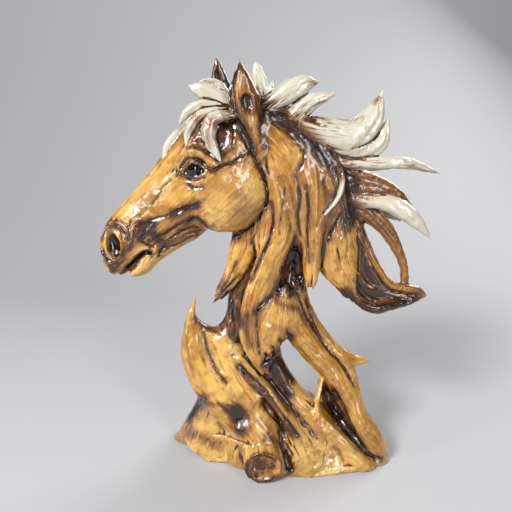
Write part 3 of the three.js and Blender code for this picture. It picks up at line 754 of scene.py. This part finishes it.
# The neck: the dark hollow between the planks, the creases beside them, cracks, and the
# ragged lower edge of the bark with dark wood showing under it.
NECK_LINES = [
  (4.5, 7.0, 1.0, 6, [(295, 247), (292, 257), (288.5, 268), (284, 280), (279, 290)]),
  (4.2, 7.0, 1.0, 6, [(295.5, 247), (297.5, 258), (299, 270), (300, 284)]),
  (6.5, 8.0, 1.0, 8, [(293.6, 262), (292, 275), (290, 288)]),
  (0.9, 1.0, 0.6, 0, [(303, 144), (304.6, 156), (302, 166), (297, 173)]),
  (1.1, 1.6, 0.8, 0, [(270.5, 201), (273.5, 215), (270, 237), (261, 258), (252, 277)]),
  (0.8, 0.9, 0.6, 0, [(262, 212), (258, 226), (251, 243)]),
  (0.9, 1.0, 0.6, 0, [(236, 262), (230, 276), (222, 290)]),
  (0.6, 0.6, 0.3, 0, [(285, 180), (284.4, 196), (281, 216), (279.6, 234)]),
  (1.7, -1.6, 0, 0, [(314.6, 166), (316, 186), (316.2, 208), (315.4, 232)]),
  (2.2, -1.8, 0, 0, [(268, 150), (273, 176), (279, 204), (277, 226)]),
  (2.0, 1.5, 0.45, 0, [(296, 176), (300, 196), (298, 216), (300, 236)]),
  (1.4, 1.4, 0.6, 0, [(306, 186), (309, 208), (307, 232), (309, 262)]),
  (1.6, -1.4, 0, 0, [(292, 140), (298, 150), (296, 164), (288, 176)]),
  (1.6, -1.4, 0, 0, [(330, 224), (334, 244), (336, 268)]),
  (1.8, -1.6, 0, 0, [(264, 244), (257, 264), (248, 286)]),
  (1.3, 1.6, 1.0, 0, [(340, 214), (336, 224), (331, 232), (327, 240)]),
  (0.6, 0.6, 0.3, 0, [(345, 226), (348, 244), (346, 262)]),
  (0.6, 1.0, 0.8, 0, [(257.3, 312), (257, 326), (258, 340), (259.4, 354)]),
  (2.0, 2.8, 1.0, 2.6, [(271.5, 296), (266, 301), (261, 306), (256, 312.5)]),
  (1.1, 1.3, 0.8, 0, [(239, 275), (231, 284), (225, 290), (219, 299)]),
  (1, 0, 1.0, 9, [(264, 111), (281, 119.5), (297.6, 130), (314, 144.6), (331, 161), (348, 178), (352, 203),
    (348, 220)]),
  (1, 0, 0.7, 3, [(216, 300), (226, 293), (238, 286), (250, 279)]),
  (1, 0, 0.9, 7, [(226, 298), (232, 308), (240, 322)]),
  (3.2, 4.5, 1.0, 4, [(290, 337), (286, 343), (283, 343), (280, 350), (275, 351), (272, 357), (268, 358),
    (264, 365)]),
]
NOTCHES = [(289, 335), (282, 343), (275, 350), (268, 357)]
TRUNK_STAINS = [
  (1, 0, 1.0, 7, [(274, 358), (282, 366), (290, 377)]),
  (1, 0, 1.0, 7, [(282, 350), (290, 362), (298, 372)]),
  (1, 0, 0.9, 5, [(268, 364), (275, 374), (283, 386), (288, 394)]),
  (1, 0, 0.6, 4, [(206, 300), (214, 292), (224, 284)]),
  (1, 0, 0.3, 4, [(283, 176), (290, 190), (296, 206), (300, 222)]),
  (1, 0, 0.4, 5, [(322, 180), (328, 196), (331, 214), (326, 232)]),
  (1, 0, 0.5, 4, [(246, 316), (247, 332), (250, 346)]),
  (1, 0, 0.4, 4, [(276, 300), (286, 306), (298, 310), (306, 322)]),
]
score_all(NECK_LINES)
for px, py in NOTCHES:
    score([(px + 1.6, py + 1.6), (px - 0.8, py - 1), (px - 2.6, py - 3.4)], 1.1, 1.8, 0.7)
score_all(TRUNK_STAINS)

# The base on its left: grooves of the leaf, the cave and the gap by the left root with painted shade in
# them, painted shadow low on the left, and the cracks between the roots.
LEAF_LINES = [
  (0.9, 1.2, 0.7, 0, [(203.6, 332), (205.6, 342), (210, 357), (217, 371), (226, 382)]),
  (1, 0, 0.6, 4, [(197, 321), (206, 327), (216, 330), (226, 330)]),
]
# The cave is carved and painted dark: painted shade, darkest at its right and along the arch.
CAVE_PLACE = (234, 417)
CAVE = (15, 9, 12)
CAVE_SHADE = [
  (1, 0, 1.0, 7, [(236, 409), (240, 416), (241, 427)]),
  (1, 0, 0.6, 6, [(226, 408), (232, 414), (235, 424)]),
  (1, 0, 0.5, 3, [(208, 403), (218, 405), (228, 407)]),
]
# Painted shade in the gap between the leaf and the left root, painted shadow low on the base's left, and a
# dark line beside the branch.
LEFT_GAP = [(190, 418), (196, 408), (203, 399)]
LEFT_SHADE_AND_STAINS = [
  (1, 0, 0.35, 7, [(184, 432), (194, 434), (206, 440), (218, 446)]),
  (1, 0, 0.5, 3, [(268, 436), (274, 442), (278, 450)]),
]
FISSURES = [
  (3.0, 3.0, 1.0, 0, [(240, 366), (247, 374), (257, 383)]),
  (1.7, 2.6, 1.0, 0, [(254, 380), (262, 388), (268.5, 396), (277, 410), (288, 423), (297, 435)]),
  (1.9, 2.6, 1.0, 0, [(265.7, 375), (273, 384), (280, 393), (291, 407.4)]),
  (0.9, 1.0, 0.7, 0, [(262, 402), (270, 414), (280, 426)]),
  (1, 0, 0.6, 5, [(241, 368), (250, 378), (262, 392), (276, 412), (292, 434)]),
  (1, 0, 0.6, 5, [(268, 380), (278, 395), (288, 408)]),
  (1.2, -1.0, 0, 0, [(248, 371), (256, 378), (265, 387)]),
]
score_all(LEAF_LINES)
egg(spot(*CAVE_PLACE) + (0, -3, 0), CAVE, carve, 6, axes=np.eye(3))
score_all(CAVE_SHADE, both=False)
score(LEFT_GAP, 2.5, 2.0, 0.9, spread=6)
score_all(LEFT_SHADE_AND_STAINS, both=False)
score_all(FISSURES)

# The claw of wood and the mane: a raised edge with painted shade along the claw's underside, partings
# between the locks, dark tips.
# A raised edge along the claw's top, and painted shade along its underside.
CLAW_LINES = [
  (1.4, -1.4, 0, 0, [(356, 270), (366, 284), (382, 291), (400, 296), (416, 299)]),
  (1, 0, 0.9, 6, [(344, 292), (358, 305), (378, 308), (398, 304), (416, 299)]),
]
MANE_LINES = [
  (0.8, 0.9, 0.8, 0, [(331, 115), (339, 118.6), (350, 120), (362, 117)]),
  (0.8, 0.9, 0.8, 0, [(306, 114), (312, 108), (319, 103.4), (325, 100.6)]),
  (0.9, 1.1, 0.8, 0, [(352, 149), (363, 146), (374, 139), (380, 129)]),
]
LOCK_TIPS = [
  (1, 0, 0.8, 2, [(309, 83), (313, 82), (316, 84)]),
  (1, 0, 0.8, 2, [(374, 103), (379, 99)]),
  (1, 0, 0.7, 2.4, [(405, 163), (416, 168), (428, 172), (436, 173.5)]),
  (1.0, 1.2, 0.9, 0, [(192, 82), (202, 81), (213, 84)]),
  (1, 0, 0.5, 3, [(238, 61), (243, 62)]),
]
score_all(CLAW_LINES + MANE_LINES)
score_all(LOCK_TIPS, both=False)

# The base on its right: the wedge by the branch, the deep recess with its thin rib and the
# crack down the leg.
WEDGE_LINES = [
  (2.4, 3.0, 1.0, 0, [(280, 431), (282, 444), (286, 456), (289, 467)]),
  (3.6, 3.0, 1.0, 0, [(285, 452), (288, 462), (290, 470)]),
  (1.2, -1.2, 0, 0, [(283.5, 435), (290, 446), (297, 457)]),
]
RECESS_LINES = [
  (7.5, 7.0, 1.0, 8, [(326, 390), (331, 402), (338, 416)]),
  (4.0, 4.0, 0.9, 5, [(335, 392), (341, 406), (348, 421), (357, 438)]),
  (1.4, -3.0, 0, 0, [(334, 404), (341, 418), (350, 434)]),
  (4.0, 5.5, 1.0, 5, [(330, 404), (339, 419), (350, 433), (362, 447)]),
  (1.3, -1.4, 0, 0, [(316, 384), (315.5, 398), (317, 412)]),
  (1.8, -1.6, 0, 0, [(317, 412), (328, 424), (342, 438), (356, 453)]),
  (2.0, 2.0, 0.9, 0, [(368, 453), (374, 457), (381, 459)]),
]
LEG_CRACK = [(306, 300), (312, 320), (322, 342), (332, 356)]
score_all(WEDGE_LINES + RECESS_LINES, both=False)
score(LEG_CRACK, 1.2, 1.2, 0.9)

# The sawn face of the branch: a hollowed, cracked end inside a rim of bark. The branch is
# cut flat where the drawn box ends.
SAWN = np.array([-24.0, -53.0, 16.5])
CRACKS = 9
box_low, box_high = low + MARGIN + (0.1, 0.1, 0), high - MARGIN - 0.1
cut, axes = window(low, high)
clay[:] = np.maximum(clay, box_low[1] - axes[1])
egg(SAWN, (13.2, 3.0, 12.4), carve, 0.8, axes=np.eye(3))
for number in range(CRACKS):
    turn_by = number * 0.7 + 0.25 * math.sin(5 * number)
    reach = 9 + 3 * math.sin(3 * number)
    out = np.array([2.5, 6, reach])
    crack = SAWN + np.stack([out * math.cos(turn_by), 2.6 - out * 0.1, out * math.sin(turn_by)], -1)
    carve(*trail(crack, (0.4, 1.0, 0.5)), 0.5)
    drawn_stain_and_shade.append((crack, 1.6, 0.8))
rim = np.linspace(0, 2 * np.pi, 40)
ring = SAWN + np.stack([15.2 * np.cos(rim), 0 * rim, 14.2 * np.sin(rim)], -1)
drawn_stain_and_shade.append((ring[5:36], 2.2, 0.8))
drawn_stain_and_shade.append((SAWN + np.array([[-5, 1, 6], [0, 2, 3], [-7, 1, -2]]), 6.5, 0.75))

# Varnish lies thick and a little lumpy over all but the eyes, thickest on the sawn face.
solid = np.clip(0.5 - clay / PITCH, 0, 1)
LUMPS = 0.17
rough = np.random.default_rng(11).standard_normal(clay.shape, dtype=np.float32)
rough = blurred(rough, 1.2)
rough -= blurred(rough, 3.0)
rough *= LUMPS / rough.std()
for centre, radius in eyes:
    cut, _ = window(centre - radius - 1, centre + radius + 1)
    rough[cut] = 0
cut, _ = window(SAWN - (13, 4, 12), SAWN + (13, 5, 12))
rough[cut] *= 3
clay += rough

# The casting ends where the drawn box does, and is cut flat underneath.
for k, axis in enumerate(axes):
    clay[:] = np.maximum(clay, np.maximum(box_low[k] - axis, axis - box_high[k]))


# The skin of the clay, thinned to a mesh. Loose crumbs and sealed hollows are left out.
FACES = 97_000


def main_skin(count, quads):
    """Marks the points of the largest skin, by spreading the least number over each."""
    label = np.arange(count)
    while True:
        fresh = label.copy()
        least = label[quads].min(1)
        for k in range(4):
            np.minimum.at(fresh, quads[:, k], least)
        fresh = fresh[fresh]
        if (fresh == label).all():
            return label == np.bincount(label).argmax()
        label = fresh


grid = openvdb.FloatGrid(EMPTY)
grid.copyFromArray(clay)
points, _, quads = grid.convertToPolygons(isovalue=0.0, adaptivity=0.0)
kept = main_skin(len(points), quads)
quads = np.cumsum(kept)[quads[kept[quads[:, 0]]]] - 1
mesh = bpy.data.meshes.new("statuette_raw")
mesh.from_pydata((points[kept] * PITCH + low) / 1000, [], quads.tolist())
raw = bpy.data.objects.new("statuette_raw", mesh)
bpy.context.scene.collection.objects.link(raw)
thin = raw.modifiers.new("thin", "DECIMATE")
thin.ratio = min(FACES / len(quads), 1)
thinned = bpy.data.meshes.new_from_object(raw.evaluated_get(bpy.context.evaluated_depsgraph_get()))
bpy.data.objects.remove(raw)
bpy.data.meshes.remove(mesh)
thinned.name = "statuette_visual"
statuette = bpy.data.objects.new("statuette_visual", thinned)
bpy.context.scene.collection.objects.link(statuette)
thinned.shade_smooth()

# What the finish needs to know at each point: how hollow the surface is there, for stain and painted shade,
# the strand it belongs to with the run of its grain, and how much stain and painted shade the carved lines
# hold.
places = np.empty(len(thinned.vertices) * 3, np.float32)
thinned.vertices.foreach_get("co", places)
places = places.reshape(-1, 3) * 1000


def sampled(block):
    at = (places - low) / PITCH
    cell = np.clip(np.floor(at).astype(int), 0, np.array(block.shape) - 2)
    t = at - cell
    value = 0
    for corner in np.ndindex(2, 2, 2):
        value = value + np.prod(np.where(corner, t, 1 - t), axis=1) * block[tuple((cell + corner).T)]
    return value


def hollowness(radius):
    """How much of the space round a point is casting, less what its lump of varnish adds."""
    return sampled(blurred(solid, radius)) - 0.5 - sampled(rough) * 0.4 / radius


def points_near(line, reach):
    return ((places > line.min(0) - reach) & (places < line.max(0) + reach)).all(1).nonzero()[0]


traits = {"crease": hollowness(1.4), "hollow": hollowness(4.0)}

# Strands share a point by how near they are. The skull, which is no strand, counts as one
# that lies a little below the surface, and a lock's cream fades over its buried root.
SKULL_GAP = 1.0
SPREAD = 0.8
BURIED = 24
count = len(places)
weight = np.full(count, math.exp(-SKULL_GAP / SPREAD))
shares = {name: np.zeros(count) for name in ("bark", "dark", "brown", "mane", "lock", "root")}
strongest = weight.copy()
grain = np.stack(head_frame(*places.T), -1)
for number, (strand, colour) in enumerate(finish):
    reach = strand.size.max() + 4
    near = points_near(strand.at, reach)
    gap = np.full(len(near), 1e9)
    found = np.full((4, len(near)), EMPTY)
    for i in range(len(strand.at) - 1):
        middle = (strand.at[i] + strand.at[i + 1]) / 2
        close = (np.abs(places[near] - middle) < reach + 4).all(1).nonzero()[0]
        new = strand.beside(i, *places[near[close]].T)
        better = close[new[0] < gap[close]]
        picked = new[0] < gap[close]
        gap[better] = new[0][picked]
        for k in range(4):
            found[k, better] = new[k + 1][picked]
    depth, along, u, v = found
    share = np.exp(-np.maximum(depth, -2) / SPREAD)
    weight[near] += share
    if colour != "wood":
        shares[colour][near] += share
    if colour in ("mane", "brown", "lock"):
        buried = BURIED if colour == "lock" else strand.length[-1]
        shares["root"][near] += share * np.maximum(1 - along / buried, 0)
    first = share > strongest[near]
    strongest[near[first]] = share[first]
    half = np.array([np.interp(along[first], strand.length, strand.size[:, k]) for k in range(2)])
    grain[near[first]] = np.stack([along[first] + 90 * number, u[first] * half[0], v[first] * half[1]], -1)
for name, share in shares.items():
    traits[name] = share / weight

# Stain, and the painted shade some lines lay, is strong in the line itself and bleeds a little way round
# it.
HALO = 3.5
stain = np.zeros(count)
for line, spread, strength in drawn_stain_and_shade:
    reach = 2.2 * (spread + HALO)
    near = points_near(line, reach)
    gap = np.full(len(near), 1e9)
    for place in line:
        gap = np.minimum(gap, ((places[near] - place) ** 2).sum(1))
    bled = 0.7 * np.exp(-gap / spread**2) + 0.3 * np.exp(-gap / (spread + HALO) ** 2)
    stain[near] = np.maximum(stain[near], strength * bled)
traits["stain"] = stain

black = np.zeros(count)
for centre, radius in eyes:
    off = np.linalg.norm(places - centre, axis=1) - radius
    black = np.maximum(black, np.clip(1.5 - 2 * np.abs(off), 0, 1))
for centre in nostrils:
    off = np.linalg.norm((places - centre) @ tall / NOSTRIL_PAINT, axis=1)
    black = np.maximum(black, np.clip((1.02 - off) * 8, 0, 1))
traits["black"] = black

for name, values in traits.items():
    thinned.attributes.new(name, "FLOAT", "POINT").data.foreach_set("value", values.astype(np.float32))
grain = grain.astype(np.float32).ravel()
thinned.attributes.new("grain", "FLOAT_VECTOR", "POINT").data.foreach_set("vector", grain)


# The paint: honey varnish over wood grain, umber stain and painted shade in the creases and hollows, ridges
# lightened by wear and a painted highlight, cream hair.
class Number:
    """A number in the node tree: sums with it add Math nodes."""

    def __init__(self, paint, socket):
        self.paint, self.socket = paint, socket

    def math(self, operation, *others):
        sockets = dict(enumerate((self, *others)))
        node = self.paint.node("ShaderNodeMath", {"operation": operation}, sockets)
        return Number(self.paint, node.outputs[0])

    def __add__(self, other):
        return self.math("ADD", other)

    def __sub__(self, other):
        return self.math("SUBTRACT", other)

    def __mul__(self, other):
        return self.math("MULTIPLY", other)

    def __rsub__(self, other):
        return (self * -1).math("ADD", other)

    __radd__ = __add__

    def most(self, other):
        return self.math("MAXIMUM", other)

    def step(self, start, end):
        """Rises smoothly from 0 at start to 1 at end."""
        node = self.paint.node("ShaderNodeMapRange", {"interpolation_type": "SMOOTHSTEP"},
                               {"Value": self, "From Min": start, "From Max": end})
        return Number(self.paint, node.outputs["Result"])


class Paint:
    """A material. node() adds any node, with its settings first and then its sockets."""

    def __init__(self, name):
        self.material = bpy.data.materials.new(name)
        self.material.use_nodes = True
        self.tree = self.material.node_tree
        self.tree.nodes.clear()

    def node(self, kind, settings=(), sockets=()):
        node = self.tree.nodes.new(kind)
        for name, value in dict(settings).items():
            setattr(node, name, value)
        for name, value in dict(sockets).items():
            if isinstance(value, Number):
                value = value.socket
            if isinstance(value, bpy.types.NodeSocket):
                self.tree.links.new(value, node.inputs[name])
            else:
                node.inputs[name].default_value = value
        return node

    def trait(self, name):
        return Number(self, self.node("ShaderNodeAttribute", {"attribute_name": name}).outputs["Fac"])

    def stretched(self, vector, scale):
        sockets = {0: vector, 1: scale}
        return self.node("ShaderNodeVectorMath", {"operation": "MULTIPLY"}, sockets).outputs["Vector"]

    def noise(self, vector, scale, detail=3.0, roughness=0.55, warp=0.0):
        sockets = {"Vector": vector, "Scale": scale, "Detail": detail, "Roughness": roughness,
                   "Distortion": warp}
        return Number(self, self.node("ShaderNodeTexNoise", {}, sockets).outputs["Fac"])

    def blend(self, share, under, over, how="MIX"):
        settings = {"data_type": "RGBA", "blend_type": how}
        return self.node("ShaderNodeMix", settings, {0: share, 6: under, 7: over}).outputs[2]


HONEY = (0.36, 0.168, 0.026, 1)
HONEY_LIGHT = (0.56, 0.335, 0.085, 1)
HONEY_PALE = (0.68, 0.46, 0.17, 1)
HONEY_DEEP = (0.18, 0.066, 0.010, 1)
BARK = (0.82, 0.70, 0.42, 1)
BURNT = (0.075, 0.024, 0.006, 1)
UMBER = (0.014, 0.006, 0.003, 1)
CHESTNUT = (0.10, 0.036, 0.013, 1)
CREAM = (0.46, 0.43, 0.34, 1)
CREAM_SHADE = (0.34, 0.24, 0.12, 1)
JET = (0.004, 0.003, 0.003, 1)

paint = Paint("varnished_resin")
run = paint.node("ShaderNodeAttribute", {"attribute_name": "grain"}).outputs["Vector"]
here = paint.node("ShaderNodeTexCoord").outputs["Object"]
streaks = paint.noise(paint.stretched(run, (0.014, 0.24, 0.24)), 1.0, 4.0, 0.6, 0.2)
fine = paint.noise(paint.stretched(run, (0.03, 0.9, 0.9)), 1.0, 3.0, 0.6, 0.1)
patches = paint.noise(here, 30.0, 3.0)
clouds = paint.noise(here, 19.0, 4.0, 0.6, 0.6)
dimples = paint.noise(here, 300.0, 2.0)
mottle = paint.noise(here, 110.0, 3.0)
flecks = paint.noise(paint.stretched(run, (0.05, 0.26, 0.26)), 1.0, 4.0, 0.65, 0.5)
crease, hollow = paint.trait("crease"), paint.trait("hollow")
bark, dark, brown, root = (paint.trait(name) for name in ("bark", "dark", "brown", "root"))
cream = paint.trait("mane") + paint.trait("lock")
line_stain_and_shade, black = paint.trait("stain"), paint.trait("black")
# Convex ridges are lightened: partly rubbed wear, partly a painted highlight.
ridge_wear_and_highlight = (0 - crease).step(0.03, 0.13)

# Wood tones: random clouds, streaks, fine grain and mottle deepen it, painted shade deepens the broad
# hollows, and flecks lighten it.
WOOD_LAYERS = [
  (clouds, 0.50, 0.66, 0.55, HONEY_DEEP),
  (streaks, 0.50, 0.68, 0.65, HONEY_DEEP),
  (fine, 0.54, 0.74, 0.4, HONEY_DEEP),
  (mottle, 0.50, 0.66, 0.5, HONEY_DEEP),
  (hollow * 5 + mottle - 0.5, 0.1, 0.7, 0.8, HONEY_DEEP),
  (flecks, 0.50, 0.70, 0.45, HONEY_PALE),
]
wood = paint.blend(patches.step(0.36, 0.62), HONEY, HONEY_LIGHT)
for pattern, start, end, strength, tint in WOOD_LAYERS:
    wood = paint.blend(pattern.step(start, end) * strength, wood, tint)
wood = paint.blend(bark * 0.9, wood, BARK, "MULTIPLY")
wood = paint.blend(ridge_wear_and_highlight * 0.4, wood, HONEY_LIGHT)
hair = paint.blend(fine.step(0.50, 0.72) * 0.6, CREAM, CREAM_SHADE)
dark_wood = paint.blend(streaks.step(0.45, 0.66) * 0.6, UMBER, CHESTNUT)
dark_wood = paint.blend(ridge_wear_and_highlight * 0.5, dark_wood, HONEY_DEEP)
streaked = paint.blend(streaks.step(0.46, 0.62), CHESTNUT, HONEY_DEEP)
streaked = paint.blend(ridge_wear_and_highlight * 0.8, streaked, HONEY)
colour = paint.blend(dark.step(0.4, 0.6), wood, dark_wood)
colour = paint.blend(brown.step(0.35, 0.65), colour, streaked)
colour = paint.blend(cream.step(0.45, 0.58), colour, hair)
# Creases and broad hollows darken: partly stain pooled in the grooves, partly painted shade.
crease_stain_and_shade = (crease * 7 + hollow * 3.0 + (streaks - 0.5) * 0.8).step(0.15, 0.95)
rooted = (root + (fine - 0.5) * 0.9).step(0.5, 0.85)
# Stain and painted shade from the drawn lines, broken up by the grain, kept off most of the cream hair.
brushed_stain_and_shade = (line_stain_and_shade * 1.2 + (fine + streaks - 1) * 1.2 * line_stain_and_shade.step(0.02, 0.3)) * (1 - cream * 0.75)
shade = crease_stain_and_shade.most(brushed_stain_and_shade).most(rooted)
# Stain and painted shade deepen the colour in three steps: deep honey, burnt brown, umber.
STAIN_AND_SHADE_DEPTHS = ((0.03, 0.40, 0.85, HONEY_DEEP), (0.28, 0.68, 0.95, BURNT), (0.55, 1.0, 0.95, UMBER))
for start, end, strength, tint in STAIN_AND_SHADE_DEPTHS:
    colour = paint.blend(shade.step(start, end) * strength, colour, tint)
colour = paint.blend(black, colour, JET)

height = (dimples * 0.7 + fine * 0.35 + streaks * 0.5) * (1 - black)
bump = paint.node("ShaderNodeBump", {}, {"Strength": 0.7, "Distance": 0.0008, "Height": height})
shader = paint.node("ShaderNodeBsdfPrincipled", {}, {
    "Base Color": colour, "Roughness": (0.13 + fine * 0.18) * (1 - black * 0.7),
    "Normal": bump.outputs["Normal"], "Specular IOR Level": 0.45,
    "Coat Weight": 0.6, "Coat Roughness": 0.04, "Coat IOR": 1.5})
paint.node("ShaderNodeOutputMaterial", {}, {"Surface": shader.outputs["BSDF"]})
thinned.materials.append(paint.material)
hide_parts("statuette")
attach(statuette, "root")

# Pale floor that sweeps up behind, soft studio light, and the photograph's viewpoint.
profile = [(-1.6, 0), (0.5, 0), *((0.5 + 0.8 * math.sin(a), 0.8 - 0.8 * math.cos(a)) for a in
           np.linspace(0.1, math.pi / 2, 14)), (1.3, 2.6)]
sweep = bpy.data.meshes.new("studio_floor")
rows = [(x, y, z) for y, z in profile for x in (-2.6, 2.6)]
sweep.from_pydata(rows, [], [(2 * i, 2 * i + 1, 2 * i + 3, 2 * i + 2) for i in range(len(profile) - 1)])
sweep.shade_smooth()
floor = bpy.data.objects.new("studio_floor", sweep)
bpy.context.scene.collection.objects.link(floor)
PALE_GREY = (0.40, 0.40, 0.41, 1)
pale = Paint("pale_paper")
matt = pale.node("ShaderNodeBsdfPrincipled", {}, {"Base Color": PALE_GREY, "Roughness": 0.8})
pale.node("ShaderNodeOutputMaterial", {}, {"Surface": matt.outputs["BSDF"]})
sweep.materials.append(pale.material)

scene = bpy.context.scene
scene.world = bpy.data.worlds.new("studio")
scene.world.use_nodes = True
scene.world.node_tree.nodes["Background"].inputs["Color"].default_value = (0.80, 0.86, 0.95, 1)
scene.world.node_tree.nodes["Background"].inputs["Strength"].default_value = 0.12
# Each light: where it is, its size in metres, and its watts.
LIGHTS = {
    "window": ((-0.9, -1.1, 1.25), (0.52, 0.42), 43),
    "front_panel": ((0.75, -1.2, 0.75), (0.3, 0.8), 9),
    "left_strip": ((-1.3, -0.6, 0.5), (0.10, 0.7), 6),
    "right_strip": ((0.5, -1.1, 0.15), (0.05, 0.5), 2),
    "back_panel": ((0.8, 0.75, 1.0), (0.7, 0.7), 14),
}
for name, (at, size, watts) in LIGHTS.items():
    lamp = bpy.data.lights.new(name, "AREA")
    lamp.shape = "RECTANGLE"
    lamp.size, lamp.size_y = size
    lamp.energy = watts
    light = bpy.data.objects.new(name, lamp)
    light.location = at
    light.rotation_euler = (Vector((0, 0, 0.2)) - Vector(at)).to_track_quat("-Z", "Y").to_euler()
    scene.collection.objects.link(light)
scene.view_settings.view_transform = "Standard"

lens = bpy.data.cameras.new("camera")
lens.sensor_width = 36
lens.lens = lens.sensor_width * FOCAL / PICTURE
camera = bpy.data.objects.new("camera", lens)
camera.location = EYE_POINT / 1000
camera.rotation_euler = (math.pi / 2 - TILT, 0, 0)
scene.collection.objects.link(camera)
scene.camera = camera
